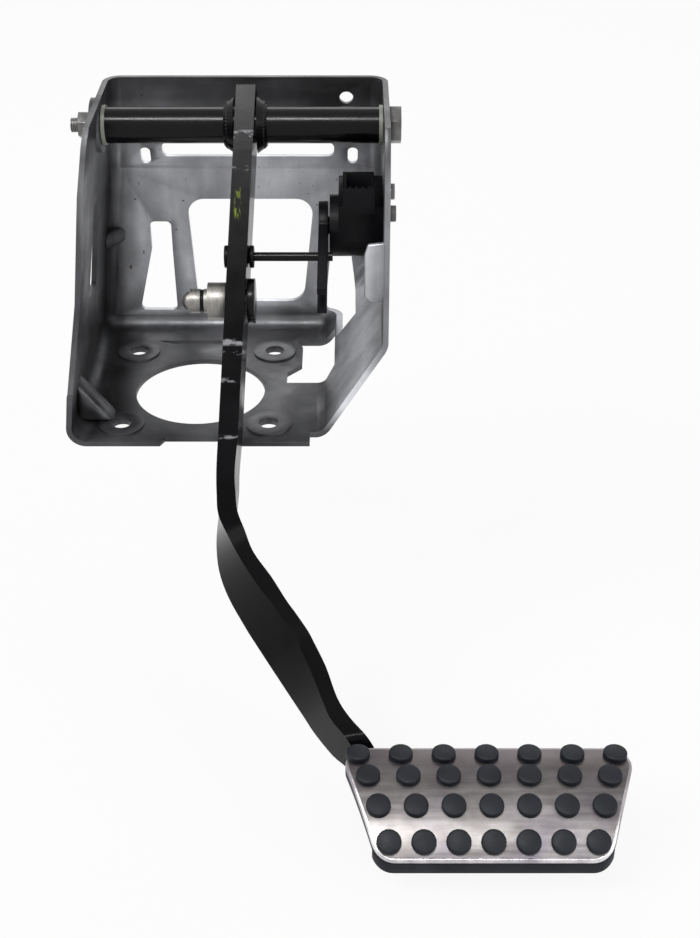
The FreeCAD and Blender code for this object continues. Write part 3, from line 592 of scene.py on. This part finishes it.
listed = [upper_section(distance) for distance in ARM_UPPER] + lower_sections() + ARM_FOOT
listed = [[Vector(corner) * MM for corner in section] for section in listed]
sections = []
for index in range(len(listed) - 1):
    around = [listed[min(max(index + step, 0), len(listed) - 1)] for step in (-1, 0, 1, 2)]
    for step in range(ARM_EASE):
        share = step / ARM_EASE
        sections.append([eased(*[section[corner] for section in around], share) for corner in range(3)])
sections.append(listed[-1])
ring = [(left, right, right + rear - left, rear) for left, right, rear in sections]
arm_points = [corner for section in ring for corner in section]
arm_faces = [(0, 1, 2, 3), tuple(len(arm_points) - 1 - corner for corner in range(4))]
for index in range(len(ring) - 1):
    for corner in range(4):
        here, after = 4 * index + corner, 4 * index + (corner + 1) % 4
        arm_faces.append((here, here + 4, after + 4, after))
arm_mesh = bpy.data.meshes.new("pedal_arm_dressed")
arm_mesh.from_pydata(arm_points, [], arm_faces)
outward(arm_mesh)
arm_mesh.shade_smooth()
arm = link_piece("pedal_arm_dressed", arm_mesh)
softened = arm.modifiers.new("edge", "BEVEL")
softened.width = ARM_EDGE
softened.segments = 3
softened.limit_method = "ANGLE"
softened.angle_limit = ARM_SHARP
softened.harden_normals = True
baked(arm)
arm.data.materials.append(FINISHES["arm_paint"])
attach(arm, "pedal")
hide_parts("pedal_arm")
print("pedal_arm_dressed", len(arm.data.polygons), "faces")

# %% [markdown]
# The bolt's free end is threaded and the weld at the pivot is a row of small overlapping beads. Both repeat
# one shape, so a Geometry Nodes tree sets copies on a row of points and joins them into plain mesh.

# %% Repeats
ROUND_STEPS = 40
STUD_RINGS = 16


class Grower:
    """A Geometry Nodes tree with a named input for each of its sizes."""

    def __init__(self, name, sizes):
        self.tree = bpy.data.node_groups.new(name, "GeometryNodeTree")
        self.values = {}
        sockets = self.tree.interface
        sockets.new_socket("Spots", in_out="INPUT", socket_type="NodeSocketGeometry")
        for label, value in sizes.items():
            kind = "NodeSocketInt" if isinstance(value, int) else "NodeSocketFloat"
            self.values[sockets.new_socket(label, in_out="INPUT", socket_type=kind).identifier] = value
        sockets.new_socket("Geometry", in_out="OUTPUT", socket_type="NodeSocketGeometry")
        self.given = self.tree.nodes.new("NodeGroupInput").outputs

    def node(self, kind, inputs):
        """A node with its inputs linked or set, by their labels; gives its first output."""
        made = self.tree.nodes.new(kind)
        for label, value in inputs.items():
            if isinstance(value, bpy.types.NodeSocket):
                self.tree.links.new(value, made.inputs[label])
            else:
                made.inputs[label].default_value = value
        return made.outputs[0]

    def math(self, kind, first, second=0.0):
        """A Math node on two sockets or numbers."""
        made = self.tree.nodes.new("ShaderNodeMath")
        made.operation = kind
        for socket, value in zip(made.inputs, (first, second)):
            if isinstance(value, bpy.types.NodeSocket):
                self.tree.links.new(value, socket)
            else:
                socket.default_value = value
        return made.outputs[0]

    def button(self, radius, shoulder, height):
        """A closed barrel on Z = 0 whose upper edge is turned in by a quarter circle."""
        barrel = self.node("GeometryNodeMeshCylinder", {
            "Vertices": ROUND_STEPS, "Side Segments": STUD_RINGS, "Radius": radius, "Depth": height})
        up = self.node("ShaderNodeCombineXYZ", {"Z": self.math("MULTIPLY", height, 0.5)})
        stood = self.node("GeometryNodeTransform", {"Geometry": barrel, "Translation": up})
        place = self.node("GeometryNodeInputPosition", {})
        split = self.tree.nodes.new("ShaderNodeSeparateXYZ")
        self.tree.links.new(place, split.inputs[0])
        straight = self.math("SUBTRACT", height, shoulder)
        over = self.math("MAXIMUM", self.math("SUBTRACT", split.outputs["Z"], straight))
        squares = self.math("SUBTRACT", self.math("POWER", shoulder, 2.0), self.math("POWER", over, 2.0))
        arc = self.math("SQRT", self.math("MAXIMUM", squares))
        turned_in = self.math("SUBTRACT", shoulder, arc)
        share = self.math("DIVIDE", self.math("SUBTRACT", radius, turned_in), radius)
        level = self.node("ShaderNodeCombineXYZ", {
            "X": self.math("MULTIPLY", split.outputs["X"], share),
            "Y": self.math("MULTIPLY", split.outputs["Y"], share), "Z": split.outputs["Z"]})
        return self.node("GeometryNodeSetPosition", {"Geometry": stood, "Position": level})

    def ring(self, radius, thick, sides):
        path = self.node("GeometryNodeCurvePrimitiveCircle", {"Radius": radius, "Resolution": ROUND_STEPS})
        profile = self.node("GeometryNodeCurvePrimitiveCircle", {"Radius": thick, "Resolution": sides})
        return self.node("GeometryNodeCurveToMesh", {"Curve": path, "Profile Curve": profile})

    def piece(self, name, geometry, finish, body, slot, mesh=None, place=None):
        """Realize the geometry, give it its finish, and make it a plain mesh that rides with a body."""
        real = self.node("GeometryNodeRealizeInstances", {"Geometry": geometry})
        painted = self.node("GeometryNodeSetMaterial", {"Geometry": real, "Material": FINISHES[finish]})
        out = self.tree.nodes.new("NodeGroupOutput")
        self.tree.links.new(painted, out.inputs[0])
        made = link_piece(name, mesh or bpy.data.meshes.new(name))
        modifier = made.modifiers.new("grow", "NODES")
        modifier.node_group = self.tree
        for key, value in self.values.items():
            modifier[key] = value
        baked(made)
        made.data.transform(place or Matrix())
        outward(made.data)
        made.data.shade_smooth()
        made.data.set_sharp_from_angle(angle=SHARP_ANGLE)
        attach(made, body)
        print(name, len(made.data.polygons), "faces")


ON_X = Matrix.Rotation(math.pi / 2, 4, "Y")
bolt_low, bolt_high = (Vector(corner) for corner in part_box("pivot_bolt"))
pivot = (bolt_low + bolt_high) / 2
THREAD_RADIUS = 3.0 * MM
THREAD_PITCH = 0.8 * MM
THREAD_TURNS = 4
THREAD_THICK = 0.28 * MM
THREAD_START = 0.5 * MM
RIDGE_SIDES = 6
thread = Grower("bolt_thread_ridges", {
    "Turns": THREAD_TURNS, "Pitch": THREAD_PITCH, "Radius": THREAD_RADIUS, "Thickness": THREAD_THICK})
turn_step = thread.node("ShaderNodeCombineXYZ", {"Z": thread.given["Pitch"]})
turns = thread.node("GeometryNodeMeshLine", {"Count": thread.given["Turns"], "Offset": turn_step})
ridge = thread.ring(thread.given["Radius"], thread.given["Thickness"], RIDGE_SIDES)
ridges = thread.node("GeometryNodeInstanceOnPoints", {"Points": turns, "Instance": ridge})
thread.piece("bolt_thread_ridges", ridges, "zinc_steel", "bracket", "zinc_steel",
             place=Matrix.Translation((bolt_low.x + THREAD_START, pivot.y, pivot.z)) @ ON_X)
weld_low, weld_high = (Vector(corner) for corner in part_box("weld_beads"))
BEAD = 1.7 * MM
BEADS = 40
BEAD_INSET = 1.2 * BEAD
WELD_RING = 9.0 * MM
for side, x in (("left", weld_low.x + BEAD_INSET), ("right", weld_high.x - BEAD_INSET)):
    weld = Grower("weld_ripple_" + side, {"Beads": BEADS, "Ring": WELD_RING, "Bead": BEAD})
    row = weld.node("GeometryNodeMeshCircle", {"Vertices": weld.given["Beads"], "Radius": weld.given["Ring"]})
    ball = weld.node("GeometryNodeMeshIcoSphere", {"Radius": weld.given["Bead"], "Subdivisions": 2})
    beads = weld.node("GeometryNodeInstanceOnPoints", {"Points": row, "Instance": ball})
    weld.piece("weld_ripple_" + side, beads, "black_paint", "pedal", "black_paint",
               place=Matrix.Translation((x, pivot.y, pivot.z)) @ ON_X)

# %% [markdown]
# The steel trim of the pad is turned down all round, so its edge is a soft roll. Its steel is a much lighter
# copy of the stainless, a painted highlight. The roll follows the outline of the pad over its curve, and a
# Geometry Nodes tree sweeps a small circle along that loop.

# %% Rolled rim
RIM = 1.3 * MM
RIM_CORNER = 8.5 * MM
RIM_STEPS = 8
RIM_SINK = 1.35 * MM
RIM_SPACING = 3.0 * MM
RIM_SIDES = 12
PAD_CORNERS = [Vector((x * MM, across * MM)) for x, across in (
    (68.0, 24.6), (189.5, 24.6), (174.2, -24.6), (83.3, -24.6))]


def rounded_loop(corners, radius):
    """The points of a closed outline whose corners are turned by arcs."""
    loop = []
    for index, corner in enumerate(corners):
        before = (corners[index - 1] - corner).normalized()
        after = (corners[(index + 1) % len(corners)] - corner).normalized()
        half = math.acos(before.dot(after)) / 2
        middle = corner + (before + after).normalized() * radius / math.sin(half)
        start = corner + before * radius / math.tan(half) - middle
        end = corner + after * radius / math.tan(half) - middle
        turn = start.angle_signed(end)
        for step in range(RIM_STEPS + 1):
            angle = -turn * step / RIM_STEPS
            loop.append(middle + Matrix.Rotation(angle, 2) @ start)
    return loop


outline = rounded_loop(PAD_CORNERS, RIM_CORNER)
points = []
for index, spot in enumerate(outline):
    following = outline[(index + 1) % len(outline)]
    parts = max(1, int((following - spot).length / RIM_SPACING))
    for step in range(parts):
        between = spot.lerp(following, step / parts)
        points.append(pad_spot(between.x, between.y, -RIM_SINK))
edges = [(index, (index + 1) % len(points)) for index in range(len(points))]
path = bpy.data.meshes.new("pad_rim")
path.from_pydata(points, edges, [])
sweep = Grower("pad_rim", {"Radius": RIM})
loop = sweep.node("GeometryNodeMeshToCurve", {"Mesh": sweep.given["Spots"]})
bar = sweep.node("GeometryNodeCurvePrimitiveCircle", {
    "Radius": sweep.given["Radius"], "Resolution": RIM_SIDES})
rolled = sweep.node("GeometryNodeCurveToMesh", {"Curve": loop, "Profile Curve": bar})
# The rim takes the lighter steel: a painted highlight along the roll.
sweep.piece("pad_rim", rolled, "rim_highlight_steel", "pedal", "stainless", path)

# %% [markdown]
# The trim itself is a smooth curved sheet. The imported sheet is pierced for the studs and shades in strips, so
# the shown one is an even grid of rows between the two sides of the outline, and the studs pass through it.

# %% Steel trim
TRIM_ROWS = 48
TRIM_COLUMNS = 40
TRIM_THICK = 1.1 * MM
TRIM_END = 0.0005


def row_ends(outline, across):
    """Where a level line meets the left and right sides of an outline."""
    hits = []
    for start, end in zip(outline, outline[1:] + outline[:1]):
        if abs(start.y - end.y) > 1e-9 and min(start.y, end.y) <= across <= max(start.y, end.y):
            hits.append(start.lerp(end, (across - start.y) / (end.y - start.y)).x)
    return min(hits), max(hits)


def curved_sheet(name, edge, lift, thick, finish, node):
    """A sheet over the pad's curve inside an outline, as deep as it is thick, standing for a node."""
    lowest = min(spot.y for spot in edge)
    highest = max(spot.y for spot in edge)
    spots = []
    for row in range(TRIM_ROWS + 1):
        swing = 0.5 - 0.5 * math.cos(math.pi * row / TRIM_ROWS)
        across = lowest + (highest - lowest) * (TRIM_END + (1 - 2 * TRIM_END) * swing)
        left, right = row_ends(edge, across)
        for column in range(TRIM_COLUMNS + 1):
            spots.append(pad_spot(left + (right - left) * column / TRIM_COLUMNS, across, lift))
    wide = TRIM_COLUMNS + 1
    faces = []
    for row in range(TRIM_ROWS):
        for column in range(TRIM_COLUMNS):
            first = row * wide + column
            faces.append((first, first + 1, first + wide + 1, first + wide))
    mesh = bpy.data.meshes.new(name)
    mesh.from_pydata(spots, [], faces)
    piece = link_piece(name, mesh)
    wall = piece.modifiers.new("sheet", "SOLIDIFY")
    wall.thickness = thick
    wall.offset = -1.0
    baked(piece)
    outward(piece.data)
    piece.data.materials.append(FINISHES[finish])
    piece.data.shade_smooth()
    piece.data.set_sharp_from_angle(angle=SHARP_ANGLE)
    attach(piece, "pedal")
    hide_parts(node)
    print(name, len(piece.data.polygons), "faces")


curved_sheet("pad_trim", outline, 0.0, TRIM_THICK, "stainless", "pad_cover")

# %% [markdown]
# Under the trim lies the rubber pad, a little wider, and its 28 studs come up through the steel. A stud is a
# low button with a round shoulder. One button is a barrel whose upper rings are drawn in along a quarter
# circle, and a Geometry Nodes tree sets it on a point for each stud, turned by a vector stored on the points.

# %% Rubber pad and studs
RUBBER_CORNERS = [Vector((x * MM, across * MM)) for x, across in (
    (66.6, 25.7), (190.9, 25.7), (175.4, -25.7), (82.1, -25.7))]
RUBBER_LIFT = -1.3 * MM
RUBBER_THICK = 4.8 * MM
RUBBER_CORNER = 9.0 * MM
rubber_outline = rounded_loop(RUBBER_CORNERS, RUBBER_CORNER)
curved_sheet("pad_rubber_base", rubber_outline, RUBBER_LIFT, RUBBER_THICK, "pad_rubber", "pad_rubber")
STUD_RADIUS = 5.0 * MM
STUD_SHOULDER = 1.0 * MM
STUD_OUT = 2.3 * MM
STUD_SUNK = 1.0 * MM
STUD_ROWS, STUD_COLUMNS = 4, 7
STUD_SPREAD = 1.12
STUD_ANGLES = (92.6, 57.5)
STUD_LEFT = (75.0, 87.1)
STUD_RIGHT = (181.4, 170.3)


stud_spots, stud_turns = [], []
for row in range(STUD_ROWS):
    share = row / (STUD_ROWS - 1)
    angle = math.radians(STUD_ANGLES[0] + (STUD_ANGLES[1] - STUD_ANGLES[0]) * share ** STUD_SPREAD)
    straight = Vector((0.0, -math.cos(angle), math.sin(angle)))
    first = STUD_LEFT[0] + (STUD_LEFT[1] - STUD_LEFT[0]) * share
    last = STUD_RIGHT[0] + (STUD_RIGHT[1] - STUD_RIGHT[0]) * share
    for column in range(STUD_COLUMNS):
        x = (first + (last - first) * column / (STUD_COLUMNS - 1)) * MM
        stud_spots.append(PAD_AXIS + Vector((x, 0.0, 0.0)) + straight * (PAD_RADIUS - STUD_SUNK))
        stud_turns.append(straight)
stud_mesh = bpy.data.meshes.new("pad_studs")
stud_mesh.from_pydata(stud_spots, [], [])
stored = stud_mesh.attributes.new("straight_out", "FLOAT_VECTOR", "POINT")
for item, straight in zip(stored.data, stud_turns):
    item.vector = straight
studs = Grower("pad_studs", {
    "Radius": STUD_RADIUS, "Shoulder": STUD_SHOULDER, "Height": STUD_SUNK + STUD_OUT})
button = studs.button(studs.given["Radius"], studs.given["Shoulder"], studs.given["Height"])
named = studs.tree.nodes.new("GeometryNodeInputNamedAttribute")
named.data_type = "FLOAT_VECTOR"
named.inputs["Name"].default_value = "straight_out"
turn = studs.tree.nodes.new("FunctionNodeAlignRotationToVector")
turn.axis = "Z"
studs.tree.links.new(named.outputs["Attribute"], turn.inputs["Vector"])
set_down = studs.node("GeometryNodeInstanceOnPoints", {
    "Points": studs.given["Spots"],
    "Instance": button,
    "Rotation": turn.outputs["Rotation"]})
studs.piece("pad_studs", set_down, "pad_rubber", "pedal", "pad_rubber", stud_mesh)

# %% [markdown]
# The right wall keeps a rounded ear on its near edge, bent inwards to stiffen it, the left wall is braced to
# the floor by a pressed gusset, and a small swage stiffens the left fold. These are short pressed forms, so a
# pushed outline with soft edges is enough.

# %% Ear and gusset
def pressed_piece(name, mesh, soft, finish="pressed_steel", body="bracket"):
    piece = link_piece(name, mesh)
    bevel = piece.modifiers.new("edge", "BEVEL")
    bevel.width = soft
    bevel.segments = 3
    bevel.limit_method = "ANGLE"
    bevel.angle_limit = SHARP_ANGLE
    baked(piece)
    piece.data.materials.clear()
    piece.data.materials.append(FINISHES[finish])
    piece.data.shade_smooth()
    piece.data.set_sharp_from_angle(angle=SHARP_ANGLE)
    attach(piece, body)
    print(name, len(piece.data.polygons), "faces")


def in_metres(corners):
    return [tuple(value * MM for value in corner) for corner in corners]


EAR_Y = -31.0
EAR_LOW, EAR_HIGH = 63.0, 92.0
EAR_LEFT, EAR_RIGHT = 78.0, 87.4
EAR_ROUND = (EAR_RIGHT - EAR_LEFT) / 2
EAR_STEPS = 8
EAR_THICK, EAR_SOFT = 2.4 * MM, 0.7 * MM
ear = [
    (EAR_RIGHT, EAR_Y, EAR_HIGH),
    (EAR_LEFT + 1.5, EAR_Y, EAR_HIGH - 1.0),
    (EAR_LEFT, EAR_Y, EAR_HIGH - 6.0),
]
for step in range(EAR_STEPS + 1):
    angle = math.pi + math.pi * step / EAR_STEPS
    x = EAR_LEFT + EAR_ROUND + EAR_ROUND * math.cos(angle)
    ear.append((x, EAR_Y, EAR_LOW + EAR_ROUND + EAR_ROUND * math.sin(angle)))
pressed_piece("wall_ear", slab("wall_ear", in_metres(ear), Vector((0.0, EAR_THICK, 0.0))), EAR_SOFT)
GUSSET = [(-54.6, -34.0, 3.5), (-37.0, -34.0, 2.4), (-54.0, -34.0, 24.0)]
GUSSET_DEEP, GUSSET_SOFT = 13.0 * MM, 3.0 * MM
gusset_mesh = slab("corner_gusset", in_metres(GUSSET), Vector((0.0, GUSSET_DEEP, 0.0)))
pressed_piece("corner_gusset", gusset_mesh, GUSSET_SOFT)
SWAGE = [(-49.4, 65.2, 49.0), (-40.0, 65.2, 49.0), (-49.4, 53.0, 49.0)]
SWAGE_TALL, SWAGE_SOFT = 8.0 * MM, 2.2 * MM
pressed_piece("fold_swage", slab("fold_swage", in_metres(SWAGE), Vector((0.0, 0.0, SWAGE_TALL))), SWAGE_SOFT)

# %% [markdown]
# The rubber is turned down over the lower edge of the pad's plate and shows there as a thick dark lip. It is
# the low part of the rubber's outline pushed straight down, with a soft edge.

# %% Rubber lip
LIP_FROM = -14.0 * MM
LIP_DEEP = 6.0 * MM
LIP_SOFT = 0.8 * MM
LIP_UNDER = 0.5 * MM
lip = [spot for spot in rubber_outline if spot.y < LIP_FROM]
lip_mesh = slab("pad_lip", [pad_spot(spot.x, spot.y, RUBBER_LIFT - LIP_UNDER) for spot in lip],
                Vector((0.0, 0.0, -LIP_DEEP)))
pressed_piece("pad_lip", lip_mesh, LIP_SOFT, "pad_rubber", "pedal")

# %% [markdown]
# The object stands in a white studio. A pale floor keeps the soft shadow, and floor and world show white to
# the camera and in mirror-like metal by the Light Path node. A narrow strip lamp, which only adds
# reflections, draws the bright line along the painted tube.

# %% Floor and light
FLOOR_BELOW = 0.004
FLOOR_SIZE = 12.0
FLOOR_TONE = (0.86, 0.86, 0.86, 1.0)
FLOOR_SHOWN = 0.9
WORLD_LIGHT, WORLD_SHOWN = 0.45, 1.0


def background_rays(tree):
    """A socket that is 1 for camera, glossy and transmission rays."""
    path = tree.nodes.new("ShaderNodeLightPath")
    seen = path.outputs["Is Camera Ray"]
    for kind in ("Is Glossy Ray", "Is Transmission Ray"):
        either = tree.nodes.new("ShaderNodeMath")
        either.operation = "MAXIMUM"
        tree.links.new(seen, either.inputs[0])
        tree.links.new(path.outputs[kind], either.inputs[1])
        seen = either.outputs[0]
    return seen


def white_floor():
    material = bpy.data.materials.new("studio_floor")
    material.use_nodes = True
    tree = material.node_tree
    tree.nodes.clear()
    out = tree.nodes.new("ShaderNodeOutputMaterial")
    matt = tree.nodes.new("ShaderNodeBsdfDiffuse")
    matt.inputs["Color"].default_value = FLOOR_TONE
    glow = tree.nodes.new("ShaderNodeEmission")
    share = tree.nodes.new("ShaderNodeMath")
    share.operation = "MULTIPLY"
    share.inputs[1].default_value = FLOOR_SHOWN
    tree.links.new(background_rays(tree), share.inputs[0])
    mix = tree.nodes.new("ShaderNodeMixShader")
    tree.links.new(share.outputs[0], mix.inputs[0])
    tree.links.new(matt.outputs[0], mix.inputs[1])
    tree.links.new(glow.outputs[0], mix.inputs[2])
    tree.links.new(mix.outputs[0], out.inputs["Surface"])
    return material


low = cad_box[0]
half = FLOOR_SIZE / 2
level = low[2] - FLOOR_BELOW
plane = bpy.data.meshes.new("studio_floor")
plane.from_pydata([(-half, -half, level), (half, -half, level), (half, half, level), (-half, half, level)],
                  [], [(0, 1, 2, 3)])
plane.materials.append(white_floor())
link_piece("studio_floor", plane)


def lamp(name, place, aim, size, power):
    light = bpy.data.lights.new(name, "AREA")
    light.shape = "RECTANGLE"
    light.size, light.size_y = size
    light.energy = power
    thing = bpy.data.objects.new(name, light)
    thing.location = place
    thing.rotation_euler = (Vector(aim) - Vector(place)).to_track_quat("-Z", "Y").to_euler()
    bpy.context.scene.collection.objects.link(thing)
    return thing


AIM = (0.05, 0.0, 0.03)
lamp("window_light", (-1.0, -0.35, 1.2), AIM, (0.9, 0.7), 13.0)
lamp("right_fill", (1.1, -0.7, 0.5), AIM, (0.7, 0.9), 6.0)
strip = lamp("strip_light", (-0.08, -0.60, 1.16), (-0.08, 0.02, 0.127), (0.36, 0.14), 9.0)
strip.visible_diffuse = False
lamp("rim_light", (0.1, 1.1, 0.8), AIM, (1.0, 0.4), 3.0)

world = bpy.data.worlds.new("studio_world")
world.use_nodes = True
sky = world.node_tree.nodes["Background"]
sky.inputs["Color"].default_value = (1.0, 1.0, 1.0, 1.0)
strength = world.node_tree.nodes.new("ShaderNodeMapRange")
strength.inputs["To Min"].default_value = WORLD_LIGHT
strength.inputs["To Max"].default_value = WORLD_SHOWN
world.node_tree.links.new(background_rays(world.node_tree), strength.inputs["Value"])
world.node_tree.links.new(strength.outputs["Result"], sky.inputs["Strength"])
bpy.context.scene.world = world
bpy.context.scene.view_settings.view_transform = "Standard"
